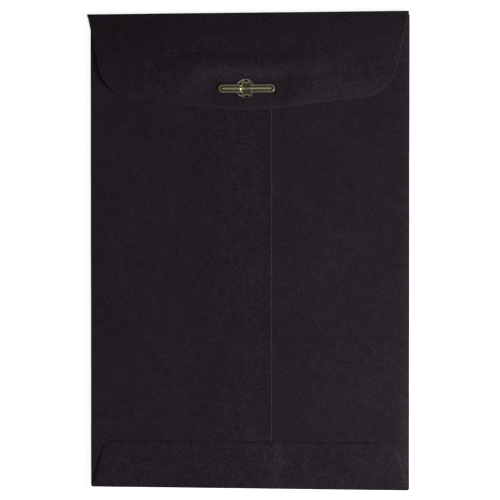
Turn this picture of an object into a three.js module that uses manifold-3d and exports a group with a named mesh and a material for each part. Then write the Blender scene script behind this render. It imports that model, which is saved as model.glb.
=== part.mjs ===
// A clasp envelope, closed and lying on its address side, in millimetres.
// X runs across the width, Y from the bottom fold to the top fold, Z up through the paper.
// The origin is the middle of the address side. The paper is one folded blank, cut here at its folds.
import * as THREE from "three";
import { mergeVertices } from "three/addons/utils/BufferGeometryUtils.js";
import Module from "manifold-3d";

const wasm = await Module();
wasm.setup();

// Body
const WIDTH = 153.4; // across the two side folds
const HEIGHT = 228.6; // from the bottom fold to the top fold
const PAPER = 0.18; // thickness of one sheet
const GLUE = 0.04; // film of seam glue
const EASE = 0.02; // air between pieces that lie on each other and come apart

// Side panels and the seam where they meet
const SEAM_X = 11; // cut edge of the left panel, which lies on top
const SEAM_OVERLAP = 22; // how far the panels lie over each other
const SEAM_STEP = 3; // run in which a sheet climbs over another's edge
const SEAM_MARGIN = 4.5; // dry margin along each cut edge
const THROAT = 3.2; // the panels stop this far below the top fold
const FOLD_ROOM = 0.1; // gap from the panels' ends to the bottom fold

// Bottom flap
const BOTTOM_DEPTH = 22.8; // from the bottom fold to its cut edge
const BOTTOM_SLANT = 6.2; // how far each side leans in
const BOTTOM_CORNER_R = 7;
const BOTTOM_MARGIN = 2.5; // dry margin round the bottom flap's glue
const BOTTOM_INSET = 0.2; // bottom flap inside the side folds

// Seal flap
const FLAP_EXTRA = 1.2; // wider than the body along the top fold
const FLAP_SHIFT = -0.95; // flap and clasp sit this far left of the middle
const FLAP_DEPTH = 46.5; // at the middle of its curved edge
const FLAP_SIDE_DEPTH = 39.4; // where its sides would meet that edge
const FLAP_LEAN = 8.4; // how far each side leans in, down to its corner
const FLAP_CORNER_R = 19;
const FLAP_NOSE_R = 10; // softness of the curved edge's middle
const FLAP_HINGE_GAP = 0.05; // the flap starts this far from its hinge line

// Gum on the flap's inner face
const GUM = 0.03; // thickness of the dry film
const GUM_REACH = 2; // above the round of the flap's corners
const GUM_OVER = 2; // least width of gum above the eyelet patch
const GUM_MARGIN = 2; // bare paper along the flap's edge
const GUM_ROOM = 0.3; // bare ring round the eyelet patch

// Eyelet in the flap, and the patch behind it
const PATCH = 0.15; // thickness of either patch
const EYELET_R = 4.5; // hole in the flap
const EYELET_SHIFT = -0.5; // from the clasp's middle to the hole's, across the flap
const EYELET_LIP = 0.25; // the patch shows this far inside that hole
const EYELET_PATCH_R = 6.5;

// Clasp
const METAL = 0.25; // thickness of the brass
const CLASP_TO_EDGE = 10; // from the clasp's middle to the flap's edge below it
const WING_SPAN = 27; // tip to tip, lying flat
const WING_WIDTH = 3.75;
const WING_RUN = 1.2; // run in which a wing climbs out of the eyelet
const BAND_WIDTH = 4.56; // between the roots of the wings
const BASE_LENGTH = 9.2; // of the base plate, along Y
const BASE_WIDTH = 5.8; // across its toothed ends
const RELIEF_R = 0.75; // round relief between a wing's root and a toothed end
const RELIEF_Y = 2.5; // its centre, up or down from the clasp's middle
const NOTCH_R = 1.6; // round notch between the two teeth of an end
const BEAD_WIDTH = 1.1; // stiffening bead along the wings and the base
const BEAD_HEIGHT = 0.22;
const BEAD_RUN = 0.6; // run in which a bead rises to its height
const BEAD_SETBACK = 0.3; // plain metal between a bead's end and a wing's root
const BEAD_TIP = 1.6; // plain metal beyond the bead at a wing's tip
const TOOTH_WIDTH = 1.1;
const TOOTH_FOOT = 1.8; // clinched length under the panels
const SLIT_ROOM = 0.1; // play all round a tooth in its slit
const COVER_WIDTH = 16; // patch over the clinched teeth
const COVER_LENGTH = 18;
const COVER_BORDER = 2; // its glued border
const COVER_SLOPE = 1.5; // run in which it bulges over the teeth

const ARC_STEPS = 12; // facets of a half turn
const WELD = 1e-4; // vertices closer than this are one
const OVERRUN = 1; // how far a blank runs past the outline that cuts it

// Heights of the stacked sheets
const pocket = METAL + PATCH + 4 * EASE;
const lower = { bottom: PAPER + pocket, top: 2 * PAPER + pocket };
const upper = { bottom: lower.top + GLUE, top: lower.top + GLUE + PAPER };
const climb = upper.top - lower.top;
const base = { bottom: upper.top, top: upper.top + METAL };
const flap = { bottom: base.top + EASE + PATCH, top: base.top + EASE + PATCH + PAPER };
const wing = { bottom: flap.top + EASE, top: flap.top + EASE + METAL };
const foot = { bottom: lower.bottom - EASE - METAL, top: lower.bottom - EASE };

// Places that several pieces share
const flapWidth = WIDTH + FLAP_EXTRA;
const topFoldR = flap.top / 2;
const hingeY = HEIGHT / 2 - topFoldR;
const sideFoldR = lower.top / 2;
const foldX = WIDTH / 2 - sideFoldR;
const bottomFoldR = (upper.top + GLUE + PAPER) / 2;
const bottomY = -HEIGHT / 2 + bottomFoldR;
const panelStart = bottomY + FOLD_ROOM;
const panelEnd = HEIGHT / 2 - THROAT;
const hiddenX = SEAM_X - SEAM_OVERLAP;
const claspDepth = FLAP_DEPTH - CLASP_TO_EDGE;
const claspX = FLAP_SHIFT;
const claspY = HEIGHT / 2 - claspDepth;
const eyeletX = claspX + EYELET_SHIFT;
const toothY = BASE_LENGTH / 2 - METAL / 2;
const toothX = (BASE_WIDTH / 2 + NOTCH_R) / 2;

// Finishes
const BLACK_PAPER = 0x252026;
const FILM = 0x3a332c;
const FIBRE = 0x8f8a82;
const BRASS = 0x8c8260;
const matt = (color) => new THREE.MeshStandardMaterial({ color, roughness: 0.85, metalness: 0 });
const brass = () => new THREE.MeshStandardMaterial({ color: BRASS, roughness: 0.35, metalness: 0.9 });

const envelope = new THREE.Group();
envelope.name = "clasp_envelope";
const clasp = new THREE.Group();
clasp.position.set(claspX, claspY, 0);
envelope.add(clasp);

function place(parent, name, geometry, material) {
  const mesh = new THREE.Mesh(geometry, material);
  mesh.name = name;
  parent.add(mesh);
  return mesh;
}

// Turns a closed geometry into a solid that can be cut or joined.
function solidOf(geometry) {
  const bare = new THREE.BufferGeometry();
  bare.setAttribute("position", geometry.getAttribute("position"));
  bare.setIndex(geometry.getIndex());
  const merged = mergeVertices(bare, WELD);
  const vertProperties = Float32Array.from(merged.getAttribute("position").array);
  const triVerts = Uint32Array.from(merged.getIndex().array);
  return new wasm.Manifold(new wasm.Mesh({ numProp: 3, vertProperties, triVerts }));
}

function geometryOf(solid) {
  const { vertProperties, triVerts } = solid.getMesh();
  const geometry = new THREE.BufferGeometry();
  geometry.setAttribute("position", new THREE.BufferAttribute(vertProperties, 3));
  geometry.setIndex(new THREE.BufferAttribute(triVerts, 1));
  const flat = geometry.toNonIndexed();
  flat.computeVertexNormals();
  return flat;
}

// Joins rings of [y, z] points, one at each x, into a closed solid with capped ends.
function loft(stations) {
  const count = stations[0].ring.length;
  const positions = stations.flatMap(({ x, ring }) => ring.flatMap(([y, z]) => [x, y, z]));
  const index = [];
  for (let i = 0; i + 1 < stations.length; i++) {
    for (let j = 0; j < count; j++) {
      const a = i * count + j;
      const b = i * count + ((j + 1) % count);
      index.push(a, b, a + count, b, b + count, a + count);
    }
  }
  const cap = (station, flip) => {
    const contour = stations[station].ring.map(([y, z]) => new THREE.Vector2(y, z));
    for (const [a, b, c] of THREE.ShapeUtils.triangulateShape(contour, [])) {
      const corners = flip ? [a, c, b] : [a, b, c];
      index.push(...corners.map((corner) => station * count + corner));
    }
  };
  cap(0, true);
  cap(stations.length - 1, false);
  const geometry = new THREE.BufferGeometry();
  geometry.setAttribute("position", new THREE.Float32BufferAttribute(positions, 3));
  geometry.setIndex(index);
  const flat = geometry.toNonIndexed();
  flat.computeVertexNormals();
  return flat;
}

// A sheet over a rectangle, between a lower and an upper height that may vary at the given x and y.
function sheet(xs, ys, lowerAt, upperAt) {
  const ring = (x) => [
    ...ys.map((y) => [y, lowerAt(x, y)]),
    ...[...ys].reverse().map((y) => [y, upperAt(x, y)]),
  ];
  return loft(xs.map((x) => ({ x, ring: ring(x) })));
}

// An outline given by its corners, each [x, y, radius], raised to a plate between two heights.
function outline(corners) {
  const points = [];
  corners.forEach(([x, y, radius = 0], i) => {
    const corner = new THREE.Vector2(x, y);
    if (radius === 0) {
      points.push(corner);
      return;
    }
    const [fromX, fromY] = corners[(i + corners.length - 1) % corners.length];
    const [toX, toY] = corners[(i + 1) % corners.length];
    const back = new THREE.Vector2(fromX, fromY).sub(corner).normalize();
    const ahead = new THREE.Vector2(toX, toY).sub(corner).normalize();
    const half = back.angleTo(ahead) / 2;
    const centre = back.clone().add(ahead).normalize();
    centre.multiplyScalar(radius / Math.sin(half)).add(corner);
    const start = back.clone().multiplyScalar(radius / Math.tan(half)).add(corner).sub(centre);
    const turn = Math.sign(back.cross(ahead)) * -1 * (Math.PI - 2 * half);
    for (let k = 0; k <= ARC_STEPS; k++) {
      points.push(start.clone().rotateAround(new THREE.Vector2(), (turn * k) / ARC_STEPS).add(centre));
    }
  });
  return new THREE.Shape(points);
}

function plate(shape, bottom, top) {
  const geometry = new THREE.ExtrudeGeometry(shape, { depth: top - bottom, bevelEnabled: false });
  return geometry.translate(0, 0, bottom);
}

function circle(x, y, radius) {
  const path = new THREE.Path();
  for (let k = 0; k < 4 * ARC_STEPS; k++) {
    const angle = (Math.PI * k) / (2 * ARC_STEPS);
    const point = [x + radius * Math.cos(angle), y + radius * Math.sin(angle)];
    if (k === 0) path.moveTo(...point);
    else path.lineTo(...point);
  }
  path.closePath();
  return path;
}

function disc(x, y, radius, bottom, top) {
  return plate(new THREE.Shape(circle(x, y, radius).getPoints()), bottom, top);
}

// Points of a half-round fold in its own section: out to the side, from its foot to its head.
function foldArc(centre, radius) {
  const points = [];
  for (let k = 0; k <= ARC_STEPS; k++) {
    const angle = -Math.PI / 2 + (Math.PI * k) / ARC_STEPS;
    points.push([centre + radius * Math.cos(angle), radius * Math.sin(angle)]);
  }
  return points;
}

// A strip of paper folded back on itself, bulging to +X, with its fold along Y.
function foldStrip(radius, length) {
  const outer = foldArc(0, radius);
  const inner = foldArc(0, radius - PAPER).reverse();
  const shape = new THREE.Shape([...outer, ...inner].map(([x, y]) => new THREE.Vector2(x, y)));
  const geometry = new THREE.ExtrudeGeometry(shape, { depth: length, bevelEnabled: false });
  return geometry.rotateX(Math.PI / 2).translate(0, length, radius);
}

// Front panel
place(
  envelope,
  "front_panel",
  sheet([-foldX, foldX], [bottomY, hingeY], () => 0, () => PAPER),
  matt(BLACK_PAPER),
);

// Side folds
const sideFold = () => foldStrip(sideFoldR, panelEnd - panelStart);
const rightFold = place(envelope, "right_fold", sideFold(), matt(BLACK_PAPER));
rightFold.position.set(foldX, panelStart, 0);
const leftFold = place(envelope, "left_fold", sideFold(), matt(BLACK_PAPER));
leftFold.position.set(-foldX, panelEnd, 0);
leftFold.rotation.z = Math.PI;

// Slits that let the clasp's teeth through the panels and their glue
function cutSlits(geometry) {
  let solid = solidOf(geometry);
  for (const x of [-toothX, toothX]) {
    for (const y of [-toothY, toothY]) {
      const slit = new THREE.BoxGeometry(TOOTH_WIDTH + 2 * SLIT_ROOM, METAL + 2 * SLIT_ROOM, 2 * base.top);
      solid = solid.subtract(solidOf(slit.translate(claspX + x, claspY + y, 0)));
    }
  }
  return geometryOf(solid);
}

// Side panels: the right one lies flat, and the left one climbs over its hidden edge.
const stepStart = hiddenX - FOLD_ROOM - SEAM_STEP;
const stepEnd = hiddenX - FOLD_ROOM;
const overStep = (x) => (x > stepStart ? climb : 0);
place(
  envelope,
  "right_side_panel",
  cutSlits(sheet([hiddenX, foldX], [panelStart, panelEnd], () => lower.bottom, () => lower.top)),
  matt(BLACK_PAPER),
);
place(
  envelope,
  "left_side_panel",
  cutSlits(
    sheet(
      [-foldX, stepStart, stepEnd, SEAM_X],
      [panelStart, panelEnd],
      (x) => lower.bottom + overStep(x),
      (x) => lower.top + overStep(x),
    ),
  ),
  matt(BLACK_PAPER),
);

// Glue in the centre seam
place(
  envelope,
  "centre_seam_glue",
  cutSlits(
    sheet(
      [hiddenX + SEAM_MARGIN, SEAM_X - SEAM_MARGIN],
      [panelStart + SEAM_MARGIN, panelEnd - SEAM_MARGIN],
      () => lower.top,
      () => upper.bottom,
    ),
  ),
  matt(FILM),
);

// Bottom flap, which drapes over the seam
const drapeXs = [stepStart, stepEnd, SEAM_X + FOLD_ROOM, SEAM_X + FOLD_ROOM + SEAM_STEP];
const drape = (x) => (x >= drapeXs[1] && x <= drapeXs[2] ? climb : 0);
const bottomHalf = WIDTH / 2 - BOTTOM_INSET;

// The bottom flap's outline, drawn in by a margin on every cut side and ended at a given y.
function bottomOutline(margin, start) {
  const rise = (start - bottomY) / BOTTOM_DEPTH;
  const top = -HEIGHT / 2 + BOTTOM_DEPTH - margin;
  const wide = bottomHalf - margin - rise * BOTTOM_SLANT;
  const narrow = bottomHalf - margin - BOTTOM_SLANT;
  return outline([
    [-wide, start],
    [wide, start],
    [narrow, top, BOTTOM_CORNER_R],
    [-narrow, top, BOTTOM_CORNER_R],
  ]);
}

function cutToOutline(geometry, shape) {
  return geometryOf(solidOf(geometry).intersect(solidOf(plate(shape, 0, 2 * flap.top))));
}

place(
  envelope,
  "bottom_flap",
  cutToOutline(
    sheet(
      [-WIDTH / 2, ...drapeXs, WIDTH / 2],
      [bottomY, -HEIGHT / 2 + BOTTOM_DEPTH + OVERRUN],
      (x) => upper.bottom + drape(x),
      (x) => upper.top + drape(x),
    ),
    bottomOutline(0, bottomY),
  ),
  matt(BLACK_PAPER),
);

// Glue under the bottom flap: it fills the step beside the seam's cut edge.
const underGlue = (x) => lower.top + (x > stepStart && x <= SEAM_X ? climb : 0);
place(
  envelope,
  "bottom_seam_glue",
  cutToOutline(
    sheet(
      [-foldX, stepStart, stepEnd, SEAM_X, ...drapeXs.slice(2), foldX],
      [panelStart, -HEIGHT / 2 + BOTTOM_DEPTH],
      underGlue,
      (x) => upper.bottom + drape(x) + (x === SEAM_X ? climb - drape(x) : 0),
    ),
    bottomOutline(BOTTOM_MARGIN, panelStart + BOTTOM_MARGIN),
  ),
  matt(FILM),
);

// Bottom fold: its half-round grows where the bottom flap drapes over the seam.
function bottomFoldRing(x) {
  const radius = (upper.top + drape(x)) / 2;
  const centre = HEIGHT / 2 - radius;
  const outer = foldArc(centre, radius).map(([y, z]) => [-y, z + radius]);
  const inner = foldArc(centre, radius - PAPER).map(([y, z]) => [-y, z + radius]);
  const head = upper.top + drape(x);
  return [
    [bottomY, 0],
    [bottomY, PAPER],
    ...inner,
    [bottomY, head - PAPER],
    [bottomY, head],
    ...outer.reverse(),
  ];
}
place(
  envelope,
  "bottom_fold",
  loft([-bottomHalf, ...drapeXs, bottomHalf].map((x) => ({ x, ring: bottomFoldRing(x) }))),
  matt(BLACK_PAPER),
);

// Top fold, which flattens as the seal flap opens
const topFold = place(envelope, "top_fold", foldStrip(topFoldR, flapWidth), matt(BLACK_PAPER));
topFold.rotation.z = Math.PI / 2;
topFold.position.set(FLAP_SHIFT + flapWidth / 2, hingeY, 0);

// Seal flap. Its curved edge is deepest at the middle and falls off along a softened V.
const flapHalf = flapWidth / 2;
const endHalf = flapHalf - FLAP_LEAN;
const noseFall = (FLAP_DEPTH - FLAP_SIDE_DEPTH) / (Math.hypot(endHalf, FLAP_NOSE_R) - FLAP_NOSE_R);
const edgeDepth = (x) => FLAP_DEPTH - noseFall * (Math.hypot(x, FLAP_NOSE_R) - FLAP_NOSE_R);
const sideLean = FLAP_LEAN / FLAP_SIDE_DEPTH;

// The flap's outline below a line at startDepth, drawn in by a margin on its cut sides.
function flapOutline(startDepth, margin) {
  const top = HEIGHT / 2 - startDepth;
  const nose = [];
  const radius = FLAP_CORNER_R - margin;
  const reach = endHalf - FLAP_CORNER_R;
  const steps = 2 * ARC_STEPS;
  for (let k = 0; k <= steps; k++) {
    const x = reach - (2 * reach * k) / steps;
    nose.push([FLAP_SHIFT - x, HEIGHT / 2 - edgeDepth(x) + margin]);
  }
  const side = flapHalf - margin - sideLean * startDepth;
  const corner = endHalf - margin;
  const cornerY = HEIGHT / 2 - FLAP_SIDE_DEPTH + margin;
  return outline([
    [FLAP_SHIFT + side, top],
    [FLAP_SHIFT - side, top],
    [FLAP_SHIFT - corner, cornerY, radius],
    ...nose,
    [FLAP_SHIFT + corner, cornerY, radius],
  ]);
}

const flapShape = flapOutline(HEIGHT / 2 - hingeY + FLAP_HINGE_GAP, 0);
flapShape.holes.push(circle(eyeletX, claspY, EYELET_R));
place(envelope, "seal_flap", plate(flapShape, flap.bottom, flap.top), matt(BLACK_PAPER));

// Gum film along the flap's edge: it starts above the corners and above the eyelet patch,
// and leaves a bare ring round that patch.
const bareRing = EYELET_PATCH_R + GUM_ROOM;
const gumStart = Math.min(FLAP_SIDE_DEPTH - FLAP_CORNER_R - GUM_REACH, claspDepth - bareRing - GUM_OVER);
const gumShape = flapOutline(gumStart, GUM_MARGIN);
gumShape.holes.push(circle(eyeletX, claspY, bareRing));
place(envelope, "flap_gum", plate(gumShape, flap.bottom - GUM, flap.bottom), matt(FILM));

// Eyelet patch: a fibre ring behind the hole in the flap
const ringShape = new THREE.Shape(circle(EYELET_SHIFT, 0, EYELET_PATCH_R).getPoints());
ringShape.holes.push(circle(EYELET_SHIFT, 0, EYELET_R - EYELET_LIP));
place(clasp, "eyelet_patch", plate(ringShape, flap.bottom - PATCH, flap.bottom), matt(FIBRE));

// Patch inside the pocket: its border is glued to the panel, and its middle covers the teeth.
const coverBottom = foot.bottom - EASE - PATCH;
const coverEdge = COVER_BORDER + COVER_SLOPE;
const coverMiddle = { x: COVER_WIDTH / 2 - coverEdge, y: COVER_LENGTH / 2 - coverEdge };
const coverLines = (half, middle) => {
  const glued = middle + COVER_SLOPE;
  return [-half, -glued, -middle, middle, glued, half];
};
const coverAt = (x, y) => {
  const inMiddle = Math.abs(x) <= coverMiddle.x && Math.abs(y) <= coverMiddle.y;
  return inMiddle ? coverBottom : lower.bottom - PATCH;
};
place(
  clasp,
  "clasp_cover_patch",
  sheet(
    coverLines(COVER_WIDTH / 2, coverMiddle.x),
    coverLines(COVER_LENGTH / 2, coverMiddle.y),
    coverAt,
    (x, y) => coverAt(x, y) + PATCH,
  ),
  matt(BLACK_PAPER),
);

// Base plate: toothed ends, waisted by four reliefs beside the wings' roots.
const toothedEnd = (BASE_WIDTH - BAND_WIDTH) / 2;
function basePlate() {
  const halfWidth = BASE_WIDTH / 2;
  const halfLength = BASE_LENGTH / 2;
  const blank = outline([
    [-halfWidth, -halfLength],
    [halfWidth, -halfLength],
    [halfWidth, halfLength],
    [-halfWidth, halfLength],
  ]);
  let solid = solidOf(plate(blank, base.bottom, base.top));
  const cut = (geometry) => {
    solid = solid.subtract(solidOf(geometry));
  };
  for (const side of [-1, 1]) {
    cut(disc(0, side * halfLength, NOTCH_R, 0, flap.top));
    const beside = new THREE.BoxGeometry(2 * toothedEnd, 2 * RELIEF_Y, 2 * flap.top);
    cut(beside.translate((side * (BAND_WIDTH + 2 * toothedEnd)) / 2, 0, 0));
    for (const end of [-1, 1]) cut(disc(side * halfWidth, end * RELIEF_Y, RELIEF_R, 0, flap.top));
  }
  return solid;
}

// A bead's height at a distance from where it starts, rising over BEAD_RUN.
const beadRise = (distance) => BEAD_HEIGHT * THREE.MathUtils.smoothstep(distance, 0, BEAD_RUN);

// A strip's section across Y: flat below, with a round-backed bead of the given height on top.
function beadedRing(halfWidth, bottom, height) {
  const top = bottom + METAL;
  const beadHalf = Math.min(BEAD_WIDTH, halfWidth) / 2;
  const ring = [
    [-halfWidth, bottom],
    [halfWidth, bottom],
    [halfWidth, top],
  ];
  for (let k = 0; k <= ARC_STEPS; k++) {
    const angle = (Math.PI * k) / ARC_STEPS;
    ring.push([beadHalf * Math.cos(angle), top + height * Math.sin(angle)]);
  }
  ring.push([-halfWidth, top]);
  return ring;
}

// Bead across the base, between the two wings
function baseBead() {
  const reach = BAND_WIDTH / 2 - BEAD_SETBACK;
  const rising = [reach, reach - BEAD_RUN / 2, reach - BEAD_RUN];
  const xs = [...rising.map((x) => -x), ...rising.reverse()];
  const height = (x) => beadRise(reach - Math.abs(x));
  return loft(xs.map((x) => ({ x, ring: beadedRing(BEAD_WIDTH, base.bottom, height(x)) })));
}

// Teeth: down through the slits and clinched inwards under the panels
function tooth(side, end) {
  const outerY = BASE_LENGTH / 2;
  const profile = new THREE.Shape([
    new THREE.Vector2(outerY, base.top - METAL / 2),
    new THREE.Vector2(outerY - METAL, base.top - METAL / 2),
    new THREE.Vector2(outerY - METAL, foot.top),
    new THREE.Vector2(outerY - TOOTH_FOOT, foot.top),
    new THREE.Vector2(outerY - TOOTH_FOOT, foot.bottom),
    new THREE.Vector2(outerY, foot.bottom),
  ]);
  const geometry = new THREE.ExtrudeGeometry(profile, { depth: TOOTH_WIDTH, bevelEnabled: false });
  geometry.translate(0, 0, -TOOTH_WIDTH / 2).rotateX(Math.PI / 2).rotateZ(Math.PI / 2);
  if (end < 0) geometry.rotateZ(Math.PI);
  return geometry.translate(side * toothX, 0, 0);
}

let baseSolid = basePlate().add(solidOf(baseBead()));
for (const side of [-1, 1]) {
  for (const end of [-1, 1]) baseSolid = baseSolid.add(solidOf(tooth(side, end)));
}
place(clasp, "clasp_base", geometryOf(baseSolid), brass());

// A wing, built to the right from its root: out, up over the flap's edge, and flat to a round tip.
function wingGeometry() {
  const root = BAND_WIDTH / 2 + EASE;
  const tip = WING_SPAN / 2;
  const half = WING_WIDTH / 2;
  const bottomAt = (x) => {
    const share = THREE.MathUtils.smootherstep(x, root, root + WING_RUN);
    return THREE.MathUtils.lerp(base.bottom + EASE, wing.bottom, share);
  };
  const beadAt = (x) => Math.min(beadRise(x - root - BEAD_SETBACK), beadRise(tip - BEAD_TIP - x));
  const stations = [];
  const station = (x, halfWidth) => {
    stations.push({ x, ring: beadedRing(halfWidth, bottomAt(x), beadAt(x)) });
  };
  for (let k = 0; k <= ARC_STEPS; k++) station(root + (WING_RUN * k) / ARC_STEPS, half);
  station(tip - half - BEAD_RUN, half);
  for (let k = 0; k < ARC_STEPS; k++) {
    const angle = (Math.PI * k) / (2 * ARC_STEPS);
    station(tip - half + half * Math.sin(angle), half * Math.cos(angle));
  }
  return loft(stations);
}

place(clasp, "right_wing", wingGeometry(), brass());
place(clasp, "left_wing", wingGeometry(), brass()).rotation.z = Math.PI;

export default envelope;
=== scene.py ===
# %% [markdown]
# # A clasp envelope of black kraft paper
# The object is a 6 by 9 inch open-end envelope, closed and lying on its address side. One sheet of
# dyed kraft paper is folded into a flat pocket, a gummed flap comes down over the mouth, and the
# wings of a brass clasp lie over the flap's eyelet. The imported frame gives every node's place.
# Here each sheet is worked out again as a fine surface, in millimetres, and put where its node is.

# %% Load the frame
import math
from collections import namedtuple

import bpy
import numpy as np
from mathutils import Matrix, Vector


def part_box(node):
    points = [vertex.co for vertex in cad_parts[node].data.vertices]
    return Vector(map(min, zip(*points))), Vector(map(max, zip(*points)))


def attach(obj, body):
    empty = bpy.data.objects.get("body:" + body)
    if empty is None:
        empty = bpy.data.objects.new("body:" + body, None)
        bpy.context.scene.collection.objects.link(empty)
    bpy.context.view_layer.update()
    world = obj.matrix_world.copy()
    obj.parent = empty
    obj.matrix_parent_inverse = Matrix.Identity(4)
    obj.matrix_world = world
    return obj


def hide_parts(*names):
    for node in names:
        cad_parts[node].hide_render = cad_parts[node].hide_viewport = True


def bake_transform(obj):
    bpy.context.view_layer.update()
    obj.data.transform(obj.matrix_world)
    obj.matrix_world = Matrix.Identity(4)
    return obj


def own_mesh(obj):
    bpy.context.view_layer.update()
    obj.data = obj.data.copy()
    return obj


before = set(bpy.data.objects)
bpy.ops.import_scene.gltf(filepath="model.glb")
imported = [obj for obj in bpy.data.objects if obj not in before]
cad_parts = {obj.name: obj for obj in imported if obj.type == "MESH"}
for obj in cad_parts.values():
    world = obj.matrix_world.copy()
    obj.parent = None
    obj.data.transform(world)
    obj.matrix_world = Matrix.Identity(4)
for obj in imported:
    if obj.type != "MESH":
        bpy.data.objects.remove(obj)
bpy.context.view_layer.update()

MM = 0.001

# %% [markdown]
# ## Where things are
# A reader could type every height again, but then the looks would drift from the construction.
# So the places come from the frame: a node's box has a left, bottom and under side (its lowest
# x, y and z) and a right, top and over side (its highest).

# %% Places of the nodes, in millimetres
Box = namedtuple("Box", "left bottom under right top over")


def node_box(name):
    low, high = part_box(name)
    return Box(*(value / MM for value in (*low, *high)))


front = node_box("front_panel")
right_panel = node_box("right_side_panel")
left_panel = node_box("left_side_panel")
bottom_flap = node_box("bottom_flap")
bottom_fold = node_box("bottom_fold")
top_fold = node_box("top_fold")
side_fold = node_box("right_fold")
seal_flap = node_box("seal_flap")
gum = node_box("flap_gum")
patch = node_box("eyelet_patch")
cover = node_box("clasp_cover_patch")
base = node_box("clasp_base")
wing = node_box("right_wing")

PAPER = front.over
METAL = 0.25
HALF_WIDTH = side_fold.right
HALF_HEIGHT = top_fold.top
CLASP_X = (base.left + base.right) / 2
CLASP_Y = (base.bottom + base.top) / 2
EYELET_X = (patch.left + patch.right) / 2
print("clasp at", round(CLASP_X, 2), round(CLASP_Y, 2), "paper", round(PAPER, 3))

# %% [markdown]
# ## How a sheet is made
# Paper could be a flat plane, but its cut edge would vanish from the side, and a box has edges
# sharper than any paper. Here a sheet is a grid of points for its outer face, a second grid for
# its inner face, and a half-round rim between their borders. The whole thing is one closed skin.
# Where a sheet runs on into a fold, the rim has no bulge, so the two pieces meet flush.

# %% Grid helpers
def fade(distance, run):
    """A smooth step from 0 to 1 while distance goes from 0 to run: 3t^2 - 2t^3."""
    t = np.clip(np.asarray(distance, float) / run, 0, 1)
    return t * t * (3 - 2 * t)


def grid_quads(rows, columns):
    """Corner indices of every cell of a grid, counter-clockwise when rows go up and columns right."""
    index = np.arange(rows * columns).reshape(rows, columns)
    corners = [index[:-1, :-1], index[:-1, 1:], index[1:, 1:], index[1:, :-1]]
    return np.stack([corner.ravel() for corner in corners], axis=1)


def grid_border(rows, columns):
    """Indices of a grid's outer points, once round, counter-clockwise."""
    index = np.arange(rows * columns).reshape(rows, columns)
    return np.concatenate([index[0, :-1], index[:-1, -1], index[-1, :0:-1], index[:0:-1, 0]])


def edge_bulges(rows, columns, bulges):
    """One bulge for each point of a grid's border, from those of its bottom, right, top and left edge."""
    counts = (columns - 1, rows - 1, columns - 1, rows - 1)
    return np.concatenate([np.broadcast_to(bulge, count) for count, bulge in zip(counts, bulges)])


def ring_quads(first, second):
    """Cells between two closed rows of indices of the same length."""
    sides = [first, np.roll(first, -1), np.roll(second, -1), second]
    return np.stack(sides, axis=1)


def unit(vectors):
    return vectors / np.maximum(np.linalg.norm(vectors, axis=-1, keepdims=True), 1e-12)


# %% [markdown]
# Blender can make faces one by one, but whole arrays are far faster. The sign of the mesh's volume
# tells whether its faces point out. A mark is a number on every point, which a material can read.

# %% From points to a piece
SHARP = math.radians(42)


def volume_of(points, quads):
    """Six times the signed volume: the sum of a . (b x c) over both triangles of each quad."""
    a, b, c, d = (points[quads[:, k]] for k in range(4))
    return np.sum(a * np.cross(b, c)) + np.sum(a * np.cross(c, d))


def make_object(name, points, quads, marks=None):
    """Puts points in millimetres and quads into a smooth-shaded mesh, with its faces pointing out."""
    if volume_of(points, quads) < 0:
        quads = quads[:, ::-1]
    mesh = bpy.data.meshes.new(name)
    mesh.vertices.add(len(points))
    mesh.vertices.foreach_set("co", (points * MM).astype(np.float32).ravel())
    mesh.loops.add(quads.size)
    mesh.loops.foreach_set("vertex_index", quads.astype(np.int32).ravel())
    mesh.polygons.add(len(quads))
    mesh.polygons.foreach_set("loop_start", np.arange(0, quads.size, 4, dtype=np.int32))
    mesh.polygons.foreach_set("use_smooth", np.ones(len(quads), bool))
    mesh.update(calc_edges=True)
    mesh.set_sharp_from_angle(angle=SHARP)
    for mark, values in (marks or {}).items():
        layer = mesh.attributes.new(mark, "FLOAT", "POINT")
        layer.data.foreach_set("value", values.astype(np.float32))
    piece = bpy.data.objects.new(name, mesh)
    bpy.context.collection.objects.link(piece)
    print(name, len(points), "points", len(quads), "quads")
    return piece


def mark_points(piece, mark, value_at):
    """Writes a float on every point of a piece, worked out from its x, y and z in millimetres."""
    mesh = piece.data
    points = np.empty(3 * len(mesh.vertices), np.float32)
    mesh.vertices.foreach_get("co", points)
    layer = mesh.attributes.new(mark, "FLOAT", "POINT")
    layer.data.foreach_set("value", value_at(*(points.reshape(-1, 3).T / MM)).astype(np.float32))


# %% [markdown]
# The rim of a cut edge is a half circle in section, so it catches the light as a real edge does.

# %% Closed sheets
RIM_STEPS = 6


def closed_sheet(name, outer, inner, quads, borders):
    """Closes two matching faces with a half-round rim along each border.

    A rim point is the middle of the wall plus half its thickness turned from the outer face
    through the border's outward side to the inner face. The border's bulge scales the outward part.
    A mark named cut is 1 on cut edges and 0 elsewhere.
    """
    count = len(outer)
    points = [outer, inner]
    cells = [quads, quads[:, ::-1] + count]
    cut = [np.zeros(count), np.zeros(count)]
    total = 2 * count
    for border, bulge in borders:
        bulge = np.broadcast_to(bulge, border.shape).astype(float)
        middle = (outer[border] + inner[border]) / 2
        half = (outer[border] - inner[border]) / 2
        along = np.roll(middle, -1, axis=0) - np.roll(middle, 1, axis=0)
        reach = np.linalg.norm(half, axis=1, keepdims=True) * bulge[:, None]
        outward = unit(np.cross(along, half)) * reach
        cut[0][border] = bulge
        cut[1][border] = bulge
        previous = border
        for step in range(1, RIM_STEPS):
            turn = math.pi * step / RIM_STEPS
            points.append(middle + half * math.cos(turn) + outward * math.sin(turn))
            cut.append(bulge)
            row = np.arange(total, total + len(border))
            cells.append(ring_quads(row, previous))
            previous = row
            total += len(border)
        cells.append(ring_quads(border + count, previous))
    return make_object(name, np.vstack(points), np.vstack(cells), {"cut": np.concatenate(cut)})


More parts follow.
